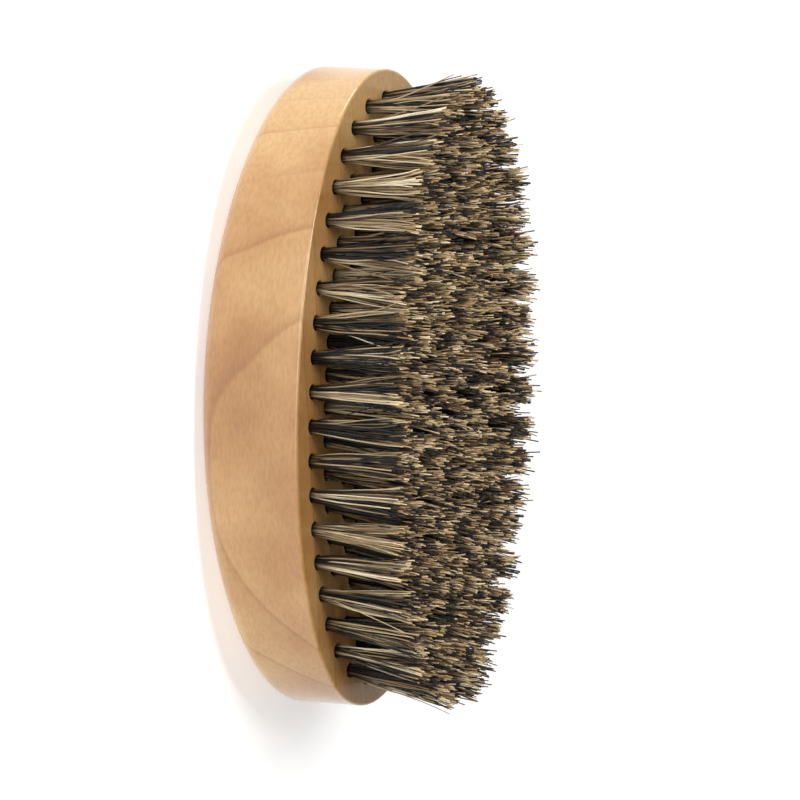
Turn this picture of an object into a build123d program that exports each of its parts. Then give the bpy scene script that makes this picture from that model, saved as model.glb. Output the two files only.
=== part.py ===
from build123d import *
import os

# Oval beard brush in millimetres.  It lies on its domed back: z = 0 is the lowest point of
# the dome, +Z is the way the bristles point, Y runs along its length and X is its width.

# ---- Wooden block ----
BLOCK_LENGTH = 120.0
BLOCK_WIDTH = 60.0
OUTLINE_HANDLE = 0.59           # Bezier handle length as a share of the half axis
CROWN_THICKNESS = 23.0          # thickest point, at the middle of the domed back
DOME_RADIUS_LONG = 253.0        # back curvature along the length
DOME_RADIUS_CROSS = 300.0       # back curvature across the width
BACK_EDGE_FILLET = 4.0
FACE_EDGE_FILLET = 0.5

# ---- Bristle tufts ----
BRISTLE_LENGTH = 20.0           # from the face of the block to the trimmed tips
HOLE_DIAMETER = 2.8
HOLE_MOUTH_DIAMETER = 3.2       # the drilled edge is eased at 45 degrees
HOLE_DEPTH = 8.0
DRILL_POINT_HEIGHT = 0.8
TUFT_CLEARANCE = 0.05           # radial gap between a tuft and its hole
TUFT_TIP_DIAMETER = 5.5
FAN_RADIUS = 520.0              # tuft axes meet this far behind the face
TRIM_ALLOWANCE = 1.0            # extra length cut away when pieces are trimmed to a plane
TUFT_ROOT_RADIUS = HOLE_DIAMETER / 2 - TUFT_CLEARANCE

# ---- Anchors folded into the tufts ----
ANCHOR_WIDTH = 3.5
ANCHOR_HEIGHT = 1.8
ANCHOR_THICKNESS = 0.4
ANCHOR_TOP_DEPTH = 5.2          # upper edge of the anchor below the face

# ---- Tuft layout: ring name, half length, half width, tufts, arcs, half-pitch shifts ----
TUFT_RINGS = (
    ("outer", 54.4, 24.2, 40, 4, 0),
    ("second", 48.1, 18.4, 36, 4, 1),
    ("third", 42.2, 11.8, 28, 4, 1),
    ("inner", 35.7, 6.6, 24, 4, 0),
)
CENTRE_ROW_LENGTH = 44.8
CENTRE_ROW_TUFTS = 8
CENTRE_ROW_ARCS = 2

# ---- Planes and axes of the shared frame ----
FACE_PLANE = Plane.XY.offset(CROWN_THICKNESS)
TIP_PLANE = FACE_PLANE.offset(BRISTLE_LENGTH)
BARREL_AXIS = Axis((0, 0, DOME_RADIUS_CROSS), (0, 1, 0))


def oval_quarters(half_width, half_length):
    """Control points of the four Bezier quarters of an oval, starting at its upper end."""
    handle_x = OUTLINE_HANDLE * half_width
    handle_y = OUTLINE_HANDLE * half_length
    upper_end = (0, half_length)
    right_side = (half_width, 0)
    lower_end = (0, -half_length)
    left_side = (-half_width, 0)
    return (
        (upper_end, (handle_x, half_length), (half_width, handle_y), right_side),
        (right_side, (half_width, -handle_y), (handle_x, -half_length), lower_end),
        (lower_end, (-handle_x, -half_length), (-half_width, -handle_y), left_side),
        (left_side, (-half_width, handle_y), (-handle_x, half_length), upper_end),
    )


def tuft_frame(point):
    """Location of a tuft on the face, with its own +Z along the fanned bristles."""
    mouth = (point.X, point.Y, CROWN_THICKNESS)
    fan_axis = (point.X, point.Y, FAN_RADIUS)
    return Plane(origin=mouth, x_dir=(0, 1, 0), z_dir=fan_axis).location


def ring_frames(half_length, half_width, count, half_pitches):
    """Evenly spaced tuft locations around one oval ring."""
    with BuildLine() as ring:
        for quarter in oval_quarters(half_width, half_length):
            Bezier(*quarter)
    wire = ring.wire()
    frames = []
    for index in range(count):
        share = ((index + half_pitches / 2) / count) % 1.0
        frames.append(tuft_frame(wire.position_at(share)))
    return frames


def centre_row_frames():
    """Evenly spaced tuft locations along the middle of the face."""
    pitch = CENTRE_ROW_LENGTH / (CENTRE_ROW_TUFTS - 1)
    frames = []
    for index in range(CENTRE_ROW_TUFTS):
        frames.append(tuft_frame(Vector(0, CENTRE_ROW_LENGTH / 2 - index * pitch)))
    return frames


def arcs_of(name, frames, arc_count):
    """Split the tufts of one ring into equal consecutive arcs, each with its own name."""
    size = len(frames) // arc_count
    arcs = {}
    for index in range(arc_count):
        arcs[f"{name}_{index + 1}"] = frames[index * size:(index + 1) * size]
    return arcs


def all_arcs():
    """Every arc of tufts on the brush, by name."""
    arcs = {}
    for name, half_length, half_width, count, arc_count, half_pitches in TUFT_RINGS:
        frames = ring_frames(half_length, half_width, count, half_pitches)
        arcs.update(arcs_of(name, frames, arc_count))
    arcs.update(arcs_of("centre", centre_row_frames(), CENTRE_ROW_ARCS))
    return arcs


def save(builder, name):
    """Name one sub-part and write its STEP file."""
    builder.part.label = name
    export_step(builder.part, f"parts/{name}.step")


def drill_profile(radius, mouth_radius, overrun):
    """Corners of half a drilled hole: drill point, straight wall, eased mouth and overrun."""
    return (
        (0, -HOLE_DEPTH),
        (radius, DRILL_POINT_HEIGHT - HOLE_DEPTH),
        (radius, radius - mouth_radius),
        (mouth_radius, 0),
        (mouth_radius, overrun),
        (0, overrun),
    )


def tuft_profile():
    """Corners of half a tuft: pressed into its hole, then flared up to the trimming cut."""
    length = BRISTLE_LENGTH + TRIM_ALLOWANCE
    return (
        (0, -HOLE_DEPTH),
        (TUFT_ROOT_RADIUS, DRILL_POINT_HEIGHT - HOLE_DEPTH),
        (TUFT_ROOT_RADIUS, 0),
        (TUFT_TIP_DIAMETER / 2, length),
        (0, length),
    )


os.makedirs("parts", exist_ok=True)
tuft_arcs = all_arcs()
all_frames = [frame for frames in tuft_arcs.values() for frame in frames]

# One anchor plate, placed in the frame of its tuft
anchor_middle = -ANCHOR_TOP_DEPTH - ANCHOR_HEIGHT / 2
with BuildPart() as anchor_plate:
    with Locations((0, 0, anchor_middle)):
        Box(ANCHOR_WIDTH, ANCHOR_THICKNESS, ANCHOR_HEIGHT)

# One drilled hole, run a little proud of the face so that it cuts cleanly
with BuildPart() as drill:
    with BuildSketch(Plane.XZ):
        Polygon(*drill_profile(HOLE_DIAMETER / 2, HOLE_MOUTH_DIAMETER / 2, TRIM_ALLOWANCE), align=None)
    revolve(axis=Axis.Z)

# One bundle of bristles, straight in its hole and flared above the face
with BuildPart() as tuft:
    with BuildSketch(Plane.XZ):
        Polygon(*tuft_profile(), align=None)
    revolve(axis=Axis.Z)
    add(anchor_plate.part, mode=Mode.SUBTRACT)

# Wooden block: oval outline, domed back, rounded edges, drilled and slotted for the tufts
with BuildPart() as block:
    with BuildSketch(FACE_PLANE):
        with BuildLine():
            for quarter in oval_quarters(BLOCK_WIDTH / 2, BLOCK_LENGTH / 2):
                Bezier(*quarter)
        make_face()
    extrude(amount=-CROWN_THICKNESS - TRIM_ALLOWANCE)
    with BuildSketch(Plane.YZ):
        with Locations((0, DOME_RADIUS_LONG)):
            Circle(DOME_RADIUS_LONG)
        Rectangle(
            2 * DOME_RADIUS_LONG, DOME_RADIUS_LONG,
            align=(Align.CENTER, Align.MIN), mode=Mode.INTERSECT,
        )
    revolve(axis=BARREL_AXIS, mode=Mode.INTERSECT)
    face_edges = block.faces().sort_by(Axis.Z)[-1].edges()
    back_edges = block.faces().sort_by(Axis.Z)[0].edges()
    fillet(back_edges, radius=BACK_EDGE_FILLET)
    fillet(face_edges, radius=FACE_EDGE_FILLET)
    with Locations(*all_frames):
        add(drill.part, mode=Mode.SUBTRACT)
    with Locations(*all_frames):
        add(anchor_plate.part, mode=Mode.SUBTRACT)
save(block, "block")

# Tufts and their anchors, one node each for every arc of a ring
for arc_name, frames in tuft_arcs.items():
    with BuildPart() as tuft_arc:
        with Locations(*frames):
            add(tuft.part)
        split(bisect_by=TIP_PLANE, keep=Keep.BOTTOM)
    save(tuft_arc, f"tufts_{arc_name}")
    with BuildPart() as anchor_arc:
        with Locations(*frames):
            add(anchor_plate.part)
    save(anchor_arc, f"anchors_{arc_name}")
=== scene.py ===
import math

import bpy
import numpy as np
from mathutils import Matrix, Vector


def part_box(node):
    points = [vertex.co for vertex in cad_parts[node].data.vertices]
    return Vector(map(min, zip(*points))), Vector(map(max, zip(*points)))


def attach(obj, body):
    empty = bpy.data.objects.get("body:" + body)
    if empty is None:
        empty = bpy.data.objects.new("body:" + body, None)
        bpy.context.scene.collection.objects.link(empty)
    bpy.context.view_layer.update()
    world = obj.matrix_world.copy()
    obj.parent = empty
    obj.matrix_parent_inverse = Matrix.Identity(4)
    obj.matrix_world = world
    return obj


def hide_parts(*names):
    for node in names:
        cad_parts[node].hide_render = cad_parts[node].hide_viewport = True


MM_PER_METRE = 1000.0

# ---- Dimensions shared with the CAD, in metres ----
TUFT_FAN_RADIUS = 0.520         # tuft axes meet this far behind the face
TUFT_HOLE_DEPTH = 0.008
DRILL_POINT_HEIGHT = 0.0008
TUFT_HOLE_RADIUS = 0.0014

# ---- Bristles ----
BRISTLES_PER_TUFT = 92
SIDE_FAN_SHARE = 0.2            # bristles lean less across the width than their holes do
BRISTLE_LENGTH = 0.0193         # a little under the CAD's trimmed 20 mm, as single tips vary
TUFT_ROOT_RADIUS = 0.0013
BRISTLE_SEGMENTS = 7            # the first one lies inside the hole
BRISTLE_SIDES = 4
BRISTLE_RADIUS = 0.000165
BRISTLE_TAPER = 0.22
ROOT_DEPTH = 0.0052             # bristles reach down to the anchor in their hole
TUFT_TIP_RADIUS = 0.0034
THICKNESS_SPREAD = (0.8, 1.2)
DISC_SCATTER = 0.05             # as a share of the disc's radius
TIP_SPREAD = (0.88, 1.12)       # how wide one tuft opens, next to the others
TIP_SCATTER = 0.0003
SPREAD_POWERS = (1.05, 1.4)     # above 1, a bristle bends outwards as it rises
WISPS_PER_TUFT = 11             # places where the tips of a tuft gather
WISP_REACH = 0.9                # as a share of the tip radius
WISP_PULL = (0.1, 0.6)
STRAY_SHARE = 0.09
STRAY_SCATTER = 0.0016
TUFT_LENGTH_SCATTER = 0.0003
LENGTH_SCATTER = 0.00055
SHORT_SHARE = 0.12
SHORT_BY = (0.0005, 0.004)
PROUD_SHARE = 0.06
PROUD_BY = (0.0003, 0.0012)
BOW = 0.0003
WAVE = 0.00012
KINK = 0.00022                  # sideways flick of the last part
KINK_POWER = 8
WISP_TONES = (0.05, 0.95)
WISP_TONE = 0.62                # tone that the bristles of a wisp share
OWN_TONE = 0.55
TONE_OFFSET = -0.09
GOLDEN_ANGLE = 2.39996
SEED = 7

# ---- Baking map: a row for each tuft, a column for each bristle, a strip for each side ----
ROW_MARGIN = 0.04
CAP_MARGIN = 0.03
STRIP_START = 0.3
STRIP_WIDTH = 0.1
CAP_HALF_WIDTH = 0.001

# ---- Wood ----
WOOD_COLOUR = (0.560, 0.344, 0.141, 1.0)
CLOUD_SHIFT = (0.09, 0.03, 0.01)            # moves the cloudy figure through the block
HEART_CENTRE = (-0.030, -0.008, 0.010)      # darker patch near the middle of the camera's side
HEART_REACH = (0.004, 0.026)
CLOUD_SCALE = 42.0
PORE_SCALE = 1700.0
PORE_STRETCH = (1.0, 0.35, 1.0)             # pores are longer along the block
FACE_HEIGHT_MM = 23.0
RING_TILT = 0.2
RING_TILT_PER_MM = -0.0025
RING_SLANT = -0.169
RING_WANDER_MM = 2.0
RING_WANDER_SCALE = 38.0
RINGS_PER_MM = 0.1795
RING_START = -1.00
FAINTEST_RING = 0.2

# ---- Camera ----
CAMERA_TURN = math.radians(28.6)
CAMERA_RISE = math.radians(3.3)
CAMERA_ROLL = math.radians(1.9)
CAMERA_DISTANCE = 1.92
FRAME_WIDTH_AT_OBJECT = 0.15038
CAMERA_AIM = (0.0045, -0.0023)  # from the centre of the face, to the right and up in the view

# ---- Studio ----
FLOOR_SIZE = 12.0
FLOOR_GLOW_REACH = (0.20, 1.00)     # the glow grows between these distances from the brush
LIGHT_TARGET = (0, 0, 0.02)


def light_area(name, location, target, size, power):
    """Add a square area light that points at the target."""
    data = bpy.data.lights.new(name, "AREA")
    data.size = size
    data.energy = power
    light = bpy.data.objects.new(name, data)
    bpy.context.scene.collection.objects.link(light)
    light.location = location
    aim = Vector(target) - Vector(location)
    light.rotation_euler = aim.to_track_quat("-Z", "Y").to_euler()


def make_camera(face_centre):
    """Camera beside the brush, rolled so that the length of the brush stands upright."""
    back = Vector((
        -math.cos(CAMERA_TURN) * math.cos(CAMERA_RISE),
        math.sin(CAMERA_RISE),
        math.sin(CAMERA_TURN) * math.cos(CAMERA_RISE),
    ))
    level = Vector((math.sin(CAMERA_TURN), 0, math.cos(CAMERA_TURN)))
    upward = back.cross(level)
    right = level * math.cos(CAMERA_ROLL) + upward * math.sin(CAMERA_ROLL)
    up = upward * math.cos(CAMERA_ROLL) - level * math.sin(CAMERA_ROLL)
    data = bpy.data.cameras.new("camera")
    data.lens = data.sensor_width * CAMERA_DISTANCE / FRAME_WIDTH_AT_OBJECT
    data.clip_end = 20
    camera = bpy.data.objects.new("camera", data)
    bpy.context.scene.collection.objects.link(camera)
    aim = face_centre + right * CAMERA_AIM[0] + up * CAMERA_AIM[1]
    place = Matrix((right, up, back)).transposed().to_4x4()
    place.translation = aim + back * CAMERA_DISTANCE
    camera.matrix_world = place
    bpy.context.scene.camera = camera


def new_material(name):
    """An empty node material: returns it with its tree and shader."""
    material = bpy.data.materials.new(name)
    material.use_nodes = True
    return material, material.node_tree, material.node_tree.nodes["Principled BSDF"]


def add_node(tree, kind, inputs=None, **settings):
    """Add a node, set its properties, then link or set its inputs by name or index."""
    node = tree.nodes.new(kind)
    for key, value in settings.items():
        setattr(node, key, value)
    for key, value in (inputs or {}).items():
        if isinstance(value, bpy.types.NodeSocket):
            tree.links.new(value, node.inputs[key])
        else:
            node.inputs[key].default_value = value
    return node


def math_node(tree, operation, first, second=0.0, third=0.0):
    """One math operation on sockets or numbers; returns its output."""
    inputs = {0: first, 1: second, 2: third}
    return add_node(tree, "ShaderNodeMath", inputs, operation=operation).outputs[0]


def ramp(tree, factor, stops):
    """Colour ramp through (position, colour) stops; returns its colour."""
    node = add_node(tree, "ShaderNodeValToRGB", {0: factor})
    elements = node.color_ramp.elements
    while len(elements) < len(stops):
        elements.new(1.0)
    for element, (position, colour) in zip(elements, stops):
        element.position = position
        element.color = (*colour, 1.0)
    return node.outputs[0]


def multiplied(tree, first, second):
    """Colour made by multiplying two colours."""
    node = add_node(tree, "ShaderNodeMix", data_type="RGBA", blend_type="MULTIPLY")
    node.inputs[0].default_value = 1.0
    tree.links.new(first, node.inputs[6])
    tree.links.new(second, node.inputs[7])
    return node.outputs[2]


def tinted(tree, colour, tint):
    """A colour multiplied by a fixed tint."""
    node = add_node(tree, "ShaderNodeMix", data_type="RGBA", blend_type="MULTIPLY")
    node.inputs[0].default_value = 1.0
    node.inputs[7].default_value = tint
    tree.links.new(colour, node.inputs[6])
    return node.outputs[2]


def growth_rings(tree, place):
    """Gently tilted sheets through the block: how far from one to the next, and how marked."""
    axes = add_node(tree, "ShaderNodeSeparateXYZ", {0: place})
    across, along, height = axes.outputs
    depth = math_node(tree, "MULTIPLY_ADD", height, MM_PER_METRE, -FACE_HEIGHT_MM)
    length = math_node(tree, "MULTIPLY", along, MM_PER_METRE)
    tilt = math_node(tree, "MULTIPLY_ADD", length, RING_TILT_PER_MM, RING_TILT)
    field = math_node(tree, "MULTIPLY", across, -MM_PER_METRE)
    field = math_node(tree, "MULTIPLY_ADD", depth, tilt, field)
    field = math_node(tree, "MULTIPLY_ADD", length, RING_SLANT, field)
    wander_inputs = {"Vector": place, "Scale": RING_WANDER_SCALE, "Detail": 1.0}
    wander = add_node(tree, "ShaderNodeTexNoise", wander_inputs).outputs[0]
    field = math_node(tree, "MULTIPLY_ADD", wander, RING_WANDER_MM, field)
    rings = math_node(tree, "MULTIPLY_ADD", field, RINGS_PER_MM, RING_START)
    number = math_node(tree, "FLOOR", rings)
    chance = add_node(tree, "ShaderNodeTexWhiteNoise", {"W": number}, noise_dimensions="1D").outputs[0]
    strength = math_node(tree, "MULTIPLY_ADD", chance, 1.0 - FAINTEST_RING, FAINTEST_RING)
    return math_node(tree, "FRACT", rings), strength


def ringed_wood(tree, place):
    """The wood's own colour, darkened towards the late edge of each growth ring."""
    position, strength = growth_rings(tree, place)
    ring_shade = ramp(tree, position, (
        (0.00, (1.00, 1.00, 1.00)),
        (0.45, (0.97, 0.95, 0.90)),
        (0.88, (0.92, 0.87, 0.77)),
        (0.970, (0.76, 0.65, 0.50)),
        (1.00, (0.96, 0.93, 0.88)),
    ))
    rings = add_node(tree, "ShaderNodeMix", {0: strength}, data_type="RGBA")
    rings.inputs[6].default_value = WOOD_COLOUR
    tree.links.new(tinted(tree, ring_shade, WOOD_COLOUR), rings.inputs[7])
    return rings.outputs[2]


def heart_shade(tree, place):
    """Shade that darkens towards the middle of the camera's side."""
    subtract = {0: place, 1: HEART_CENTRE}
    offset = add_node(tree, "ShaderNodeVectorMath", subtract, operation="SUBTRACT").outputs[0]
    reach = add_node(tree, "ShaderNodeVectorMath", {0: offset}, operation="LENGTH").outputs["Value"]
    near, far = HEART_REACH
    return ramp(tree, reach, ((near, (0.76, 0.64, 0.50)), (far, (1.0, 1.0, 1.0))))


def cloud_shade(tree, place):
    """Soft cloudy figure."""
    shifted = add_node(tree, "ShaderNodeMapping", {"Vector": place, "Location": CLOUD_SHIFT}).outputs[0]
    cloud_inputs = {"Vector": shifted, "Scale": CLOUD_SCALE, "Detail": 2.5}
    cloud = add_node(tree, "ShaderNodeTexNoise", cloud_inputs).outputs[0]
    return ramp(tree, cloud, ((0.34, (0.74, 0.59, 0.43)), (0.60, (1.0, 1.0, 1.0))))


def wood_material():
    """Light maple with a few growth rings, cloudy figure, fine pores and a satin lacquer."""
    material, tree, shader = new_material("lacquered_wood")
    place = add_node(tree, "ShaderNodeTexCoord").outputs["Object"]
    figured = multiplied(tree, ringed_wood(tree, place), heart_shade(tree, place))
    figured = multiplied(tree, figured, cloud_shade(tree, place))

    flecks = add_node(tree, "ShaderNodeMapping", {"Vector": place, "Scale": PORE_STRETCH}).outputs[0]
    grain_inputs = {"Vector": flecks, "Scale": PORE_SCALE, "Detail": 2.0}
    grain = add_node(tree, "ShaderNodeTexNoise", grain_inputs).outputs[0]
    grain_colour = ramp(tree, grain, ((0.36, (0.90, 0.855, 0.80)), (0.60, (1.0, 1.0, 1.0))))
    tree.links.new(multiplied(tree, figured, grain_colour), shader.inputs["Base Color"])
    bump = add_node(tree, "ShaderNodeBump", {"Strength": 0.12, "Distance": 0.0002, "Height": grain})
    tree.links.new(bump.outputs[0], shader.inputs["Normal"])
    shader.inputs["Roughness"].default_value = 0.4
    shader.inputs["Coat Weight"].default_value = 1.0
    shader.inputs["Coat Roughness"].default_value = 0.16
    return material


def bristle_material():
    """Boar bristle: blond, brown and black hairs, with painted shade darkening them in their hole and just
    above the face, and pale at the tip.
    """
    material, tree, shader = new_material("boar_bristle")
    tone = add_node(tree, "ShaderNodeAttribute", attribute_name="tone").outputs["Fac"]
    along = add_node(tree, "ShaderNodeAttribute", attribute_name="along").outputs["Fac"]
    hair_colour = ramp(tree, tone, (
        (0.00, (0.005, 0.005, 0.006)),
        (0.38, (0.010, 0.009, 0.008)),
        (0.47, (0.060, 0.034, 0.016)),
        (0.55, (0.250, 0.160, 0.075)),
        (0.76, (0.490, 0.385, 0.225)),
        (1.00, (0.800, 0.700, 0.510)),
    ))
    # Painted shade: bristles go nearly black inside their hole and stay dark a few millimetres above the
    # face, where the tufts crowd; the paler, warmer tips are the bristles' own flagged ends.
    painted_root_shade_pale_tips = ramp(tree, along, (
        (0.00, (0.04, 0.04, 0.04)),
        (0.07, (0.40, 0.38, 0.35)),
        (0.28, (1.0, 1.0, 1.0)),
        (0.90, (1.0, 1.0, 1.0)),
        (1.00, (1.2, 1.08, 0.90)),
    ))
    tree.links.new(multiplied(tree, hair_colour, painted_root_shade_pale_tips), shader.inputs["Base Color"])
    shader.inputs["Roughness"].default_value = 0.38
    shader.inputs["Specular IOR Level"].default_value = 0.35
    return material


def anchor_material():
    """Drawn steel wire with faint streaks."""
    material, tree, shader = new_material("anchor_wire")
    place = add_node(tree, "ShaderNodeTexCoord").outputs["Object"]
    stretch = add_node(tree, "ShaderNodeMapping", {"Vector": place, "Scale": (1.0, 0.1, 1.0)}).outputs[0]
    streak = add_node(tree, "ShaderNodeTexNoise", {"Vector": stretch, "Scale": 4000.0}).outputs[0]
    colour = ramp(tree, streak, ((0.3, (0.42, 0.42, 0.43)), (0.7, (0.62, 0.62, 0.62))))
    tree.links.new(colour, shader.inputs["Base Color"])
    shader.inputs["Metallic"].default_value = 1.0
    shader.inputs["Roughness"].default_value = 0.35
    return material


def lowest_points(node):
    """The lowest point of every tuft in a CAD node: the tip of its drilled hole."""
    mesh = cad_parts[node].data
    points = np.empty(len(mesh.vertices) * 3, np.float32)
    mesh.vertices.foreach_get("co", points)
    points = points.reshape(-1, 3).astype(float)
    points = points[points[:, 2] < points[:, 2].min() + DRILL_POINT_HEIGHT / 2]
    points = points[np.argsort(points[:, 2], kind="stable")]
    lowest = []
    for point in points:
        if all(math.dist(point, other) > TUFT_HOLE_RADIUS for other in lowest):
            lowest.append(point)
    return np.array(lowest)


def tuft_axes(node, face_z):
    """Mouths of the tufts in a CAD node and the directions of their bristles."""
    ends = lowest_points(node)
    directions = ends - np.array((0, 0, face_z - TUFT_FAN_RADIUS))
    directions /= np.linalg.norm(directions, axis=1, keepdims=True)
    mouths = ends + directions * TUFT_HOLE_DEPTH
    directions[:, 0] *= SIDE_FAN_SHARE
    return mouths, directions / np.linalg.norm(directions, axis=1, keepdims=True)


def height_shares():
    """Heights of a bristle's rings above the face, as shares of its free length."""
    return np.concatenate(([0.0], np.linspace(0, 1, BRISTLE_SEGMENTS)))


def disc_points(random, count, radius):
    """Evenly scattered points in a disc."""
    index = np.arange(count) + 0.5
    reach = radius * np.sqrt(index / count)
    turn = index * GOLDEN_ANGLE + random.uniform(0, 2 * math.pi)
    points = np.stack((np.cos(turn), np.sin(turn)), axis=1) * reach[:, None]
    return points + random.normal(0, radius * DISC_SCATTER, points.shape)


def tip_places(random, roots):
    """Where a tuft's bristles end, sideways from its middle, and which wisp each belongs to."""
    count = len(roots)
    tips = roots / TUFT_ROOT_RADIUS * TUFT_TIP_RADIUS * random.uniform(*TIP_SPREAD)
    wisps = disc_points(random, WISPS_PER_TUFT, TUFT_TIP_RADIUS * WISP_REACH)
    nearest = np.linalg.norm(tips[:, None] - wisps[None], axis=2).argmin(axis=1)
    pull = random.uniform(*WISP_PULL, (count, 1))
    tips += (wisps[nearest] - tips) * pull
    tips += random.normal(0, TIP_SCATTER, tips.shape) + random.normal(0, TIP_SCATTER, 2)
    stray = random.random(count) < STRAY_SHARE
    tips[stray] += random.normal(0, STRAY_SCATTER, (stray.sum(), 2))
    return tips, nearest


def bristle_lengths(random, count):
    """Free lengths of a tuft's bristles: most alike, some short and a few proud."""
    length = BRISTLE_LENGTH + random.normal(0, TUFT_LENGTH_SCATTER) + random.normal(0, LENGTH_SCATTER, count)
    short = random.random(count) < SHORT_SHARE
    length[short] -= random.uniform(*SHORT_BY, short.sum())
    proud = random.random(count) < PROUD_SHARE
    length[proud] += random.uniform(*PROUD_BY, proud.sum())
    return length


def tuft_paths(random):
    """Centre lines of one tuft's bristles, as (sideways, sideways, up) steps from its mouth."""
    count = BRISTLES_PER_TUFT
    roots = disc_points(random, count, TUFT_ROOT_RADIUS - BRISTLE_RADIUS)
    tips, nearest = tip_places(random, roots)
    length = bristle_lengths(random, count)

    share = np.tile(height_shares(), (count, 1))
    rise = share * length[:, None]
    rise[:, 0] = -ROOT_DEPTH
    spread = share ** random.uniform(*SPREAD_POWERS, (count, 1))
    bow = random.normal(0, BOW, (count, 2))
    wave = random.normal(0, WAVE, (count, 2))
    kink = random.normal(0, KINK, (count, 2))
    side = roots[:, None] + (tips - roots)[:, None] * spread[:, :, None]
    side += np.sin(share * math.pi)[:, :, None] * bow[:, None]
    side += np.sin(share * 2 * math.pi)[:, :, None] * wave[:, None]
    side += (share ** KINK_POWER)[:, :, None] * kink[:, None]
    paths = np.concatenate((side, rise[:, :, None]), axis=2)

    wisp_tone = random.permutation(np.linspace(*WISP_TONES, WISPS_PER_TUFT))
    tone = WISP_TONE * wisp_tone[nearest] + OWN_TONE * random.random(count) + TONE_OFFSET
    return paths, np.clip(tone, 0, 1)


def tuft_bristles(random, mouth, direction):
    """Bristle centre lines of one tuft in the shared frame, with the tone of each bristle."""
    paths, tone = tuft_paths(random)
    first = np.cross((0.0, 1.0, 0.0), direction)
    first /= np.linalg.norm(first)
    second = np.cross(direction, first)
    basis = np.stack((first, second, direction))
    return mouth + paths @ basis, tone


def tube_points(lines):
    """Corners of the tapered tubes around all bristle centre lines."""
    hairs = len(lines)
    random = np.random.default_rng(SEED + hairs)
    taper = 1 - BRISTLE_TAPER * height_shares()
    width = BRISTLE_RADIUS * random.uniform(*THICKNESS_SPREAD, (hairs, 1)) * taper
    turn = np.arange(BRISTLE_SIDES) * 2 * math.pi / BRISTLE_SIDES + random.uniform(0, math.pi, (hairs, 1))
    around = np.stack((np.cos(turn), np.sin(turn), np.zeros_like(turn)), axis=2)
    points = lines[:, :, None] + width[:, :, None, None] * around[:, None]
    return points.reshape(-1, 3)


def tube_faces(hairs, rings):
    """Corner numbers of the tubes' walls, then of their tips, then of their roots."""
    sides = BRISTLE_SIDES
    hair = np.arange(hairs)[:, None, None] * rings * sides
    ring = np.arange(rings - 1)[None, :, None] * sides
    side = np.arange(sides)[None, None]
    following = (side + 1) % sides
    walls = np.stack((
        hair + ring + side,
        hair + ring + following,
        hair + ring + sides + following,
        hair + ring + sides + side,
    ), axis=3).reshape(-1, 4)
    tips = hair[:, 0] + (rings - 1) * sides + np.arange(sides)
    roots = hair[:, 0] + np.arange(sides)[::-1]
    return np.concatenate((walls, tips, roots))


def baking_strips(hairs, rings, rows):
    """Map corners in the order of the faces: one strip for each bristle, one row for each tuft."""
    column = np.arange(hairs) % BRISTLES_PER_TUFT
    row = np.arange(hairs) // BRISTLES_PER_TUFT
    step = np.linspace(0, 1, rings)
    height = 1 - 2 * ROW_MARGIN
    low = (row[:, None] + ROW_MARGIN + height * step[None, :-1]) / rows
    high = (row[:, None] + ROW_MARGIN + height * step[None, 1:]) / rows
    strips = STRIP_START + STRIP_WIDTH * np.arange(BRISTLE_SIDES)
    left = (column[:, None] + strips[None]) / BRISTLES_PER_TUFT
    right = left + STRIP_WIDTH / BRISTLES_PER_TUFT
    walls = np.empty((hairs, rings - 1, BRISTLE_SIDES, 4, 2))
    walls[..., 0, 0] = walls[..., 3, 0] = left[:, None]
    walls[..., 1, 0] = walls[..., 2, 0] = right[:, None]
    walls[..., 0, 1] = walls[..., 1, 1] = low[:, :, None]
    walls[..., 2, 1] = walls[..., 3, 1] = high[:, :, None]
    tips = np.empty((hairs, 4, 2))
    tips[..., 0] = ((column + 0.5) / BRISTLES_PER_TUFT)[:, None]
    tips[..., 1] = ((row + 1 - CAP_MARGIN) / rows)[:, None]
    tips += np.array(((-1, -1), (1, -1), (1, 1), (-1, 1))) * CAP_HALF_WIDTH
    roots = tips - np.array((0, (1 - 2 * CAP_MARGIN) / rows))
    return np.concatenate((walls.reshape(-1, 2), tips.reshape(-1, 2), roots.reshape(-1, 2)))


def bristle_mesh(name, tufts):
    """One mesh of thin closed tubes, each with its tone and its own strip of the baking map."""
    lines = np.concatenate([lines for lines, _ in tufts])
    tones = np.concatenate([tones for _, tones in tufts])
    hairs, rings = lines.shape[:2]
    mesh = bpy.data.meshes.new(name)
    mesh.from_pydata(tube_points(lines).tolist(), [], tube_faces(hairs, rings).tolist())
    mesh.polygons.foreach_set("use_smooth", [True] * len(mesh.polygons))
    tone = mesh.attributes.new("tone", "FLOAT", "POINT")
    tone.data.foreach_set("value", np.repeat(tones, rings * BRISTLE_SIDES))
    along = mesh.attributes.new("along", "FLOAT", "POINT")
    along.data.foreach_set("value", np.tile(np.repeat(height_shares(), BRISTLE_SIDES), hairs))
    layer = mesh.uv_layers.new(name="OFBake")
    layer.data.foreach_set("uv", baking_strips(hairs, rings, len(tufts)).ravel())
    mesh.validate()
    return mesh


def make_bristles(material, face_z):
    """Replace every CAD tuft node with a piece made of single bristles."""
    nodes = sorted(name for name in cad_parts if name.startswith("tufts_"))
    for index, node in enumerate(nodes):
        random = np.random.default_rng(SEED * 1000 + index)
        mouths, directions = tuft_axes(node, face_z)
        tufts = [tuft_bristles(random, *tuft) for tuft in zip(mouths, directions)]
        name = node.replace("tufts", "bristles")
        piece = bpy.data.objects.new(name, bristle_mesh(name, tufts))
        bpy.context.scene.collection.objects.link(piece)
        piece.data.materials.append(material)
        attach(piece, "root")
        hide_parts(node)


def dress(node, material):
    """Give a CAD node its material."""
    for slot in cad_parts[node].material_slots:
        slot.material = material


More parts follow.
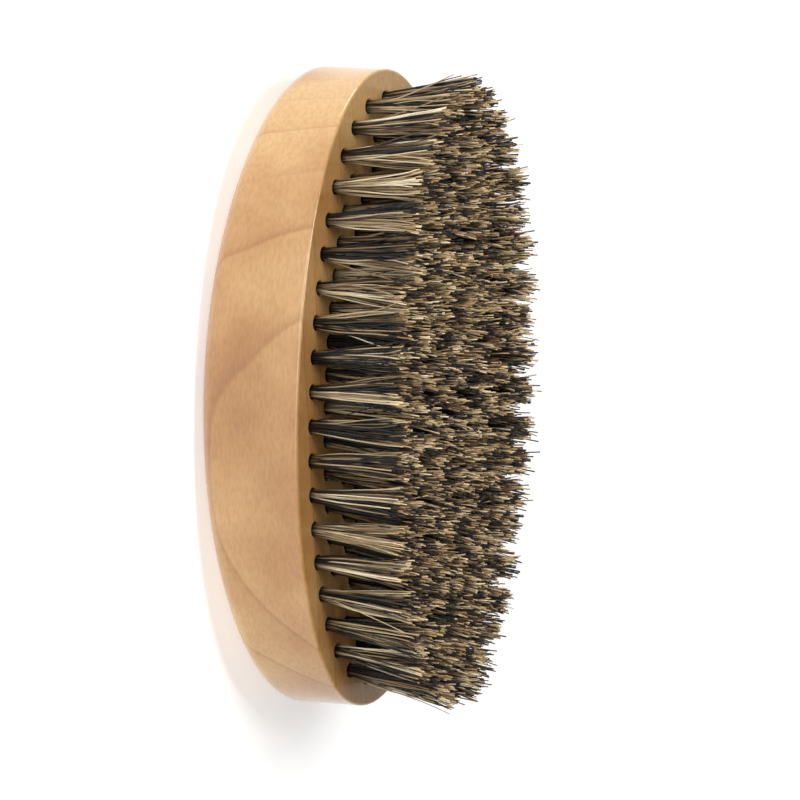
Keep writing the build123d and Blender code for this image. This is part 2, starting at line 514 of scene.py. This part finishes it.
def make_floor():
    """A wide white floor that glows a little, more so away from the brush."""
    bpy.ops.mesh.primitive_plane_add(size=FLOOR_SIZE, location=(0, 0, 0))
    floor = bpy.context.object
    floor.name = "floor"
    material, tree, shader = new_material("white_floor")
    shader.inputs["Base Color"].default_value = (0.86, 0.86, 0.86, 1)
    shader.inputs["Roughness"].default_value = 0.9
    shader.inputs["Specular IOR Level"].default_value = 0.0
    place = add_node(tree, "ShaderNodeTexCoord").outputs["Object"]
    distance = add_node(tree, "ShaderNodeVectorMath", {0: place}, operation="LENGTH").outputs["Value"]
    near, far = FLOOR_GLOW_REACH
    glow = ramp(tree, distance, ((near, (0.44, 0.44, 0.44)), (far, (0.82, 0.82, 0.82))))
    tree.links.new(glow, shader.inputs["Emission Color"])
    shader.inputs["Emission Strength"].default_value = 1.0
    floor.data.materials.append(material)


def make_world():
    """A studio whose walls are white and whose ceiling is dim."""
    world = bpy.data.worlds.new("white_studio")
    bpy.context.scene.world = world
    world.use_nodes = True
    tree = world.node_tree
    direction = add_node(tree, "ShaderNodeTexCoord").outputs["Generated"]
    height = add_node(tree, "ShaderNodeSeparateXYZ", {0: direction}).outputs[2]
    glow = ramp(tree, height, ((0.08, (1.0, 1.0, 1.0)), (0.60, (0.12, 0.12, 0.12))))
    tree.links.new(glow, tree.nodes["Background"].inputs[0])


def make_lights():
    """Soft boxes: one high, one on the camera's side and one low beyond the +Y end."""
    light_area("high_softbox", location=(-0.30, 0.26, 0.90), target=LIGHT_TARGET, size=0.3, power=4.6)
    light_area("side_softbox", location=(-0.95, 0.10, 0.37), target=LIGHT_TARGET, size=0.6, power=4.2)
    light_area("end_softbox", location=(-0.05, 0.95, 0.15), target=(0, 0.03, 0.02), size=0.4, power=4.6)


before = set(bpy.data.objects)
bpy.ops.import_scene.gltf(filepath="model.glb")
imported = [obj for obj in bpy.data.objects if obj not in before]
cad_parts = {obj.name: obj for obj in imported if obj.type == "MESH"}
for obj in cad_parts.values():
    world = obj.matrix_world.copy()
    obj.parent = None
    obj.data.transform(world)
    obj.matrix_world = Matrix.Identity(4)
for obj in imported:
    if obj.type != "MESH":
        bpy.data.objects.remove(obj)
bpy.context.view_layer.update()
bpy.context.scene.view_settings.view_transform = "Standard"
face_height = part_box("block")[1].z
make_camera(Vector((0, 0, face_height)))
make_floor()
make_world()
make_lights()

wood = wood_material()
dress("block", wood)
anchor = anchor_material()
for node_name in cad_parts:
    if node_name.startswith("anchors_"):
        dress(node_name, anchor)
make_bristles(bristle_material(), face_height)
